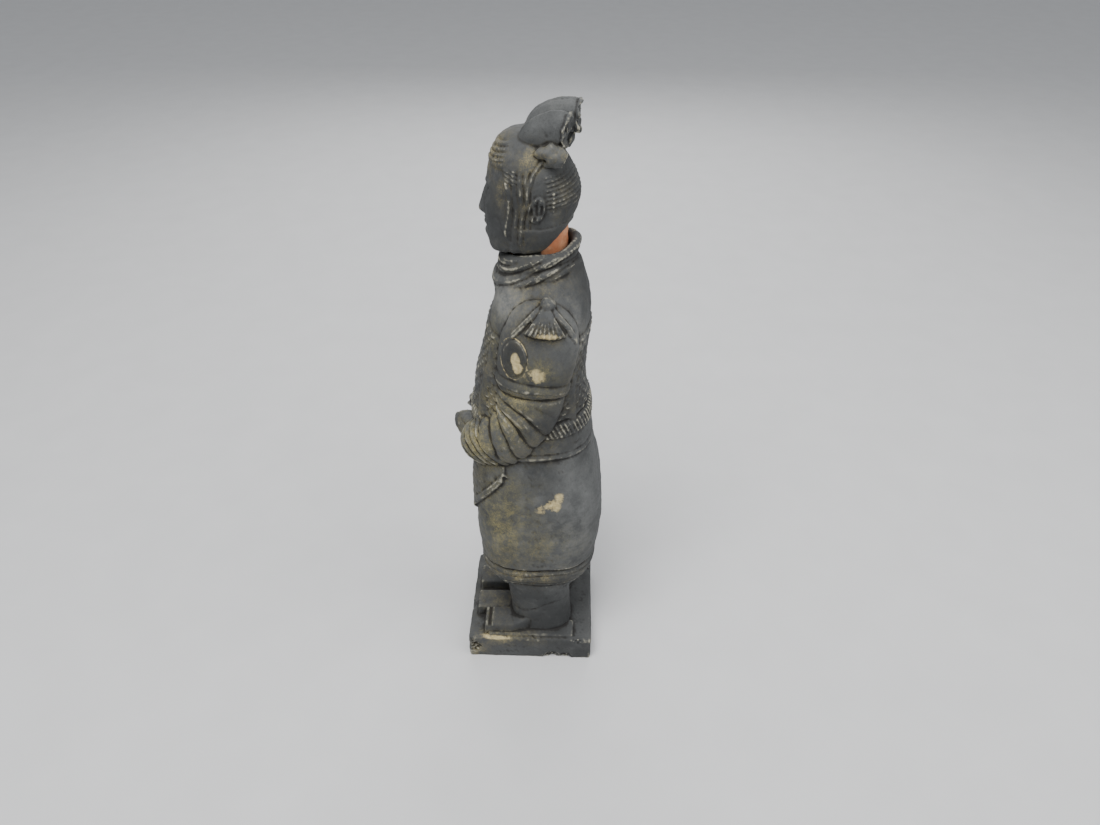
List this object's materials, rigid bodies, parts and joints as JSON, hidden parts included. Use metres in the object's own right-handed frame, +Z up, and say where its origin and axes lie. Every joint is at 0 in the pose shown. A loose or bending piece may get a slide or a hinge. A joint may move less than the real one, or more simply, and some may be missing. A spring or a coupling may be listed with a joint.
{
  "type": "terracotta warrior figure",
  "caption": "Standing robed and armoured warrior figure in dark fired clay on a square base, hands folded in wide sleeves, with a loose head that stands in the scarf.",
  "frame": {"origin": "middle of the base's underside", "axes": "+Z up; the figure faces -Y, and its left side is +X"},
  "size_m": [0.0748, 0.0759, 0.2995],
  "materials": {
    "dark_clay": "matt"
  },
  "bodies": {
    "root": {"warrior_body": "dark_clay", "warrior_head": "dark_clay"}
  },
  "joints": []
}
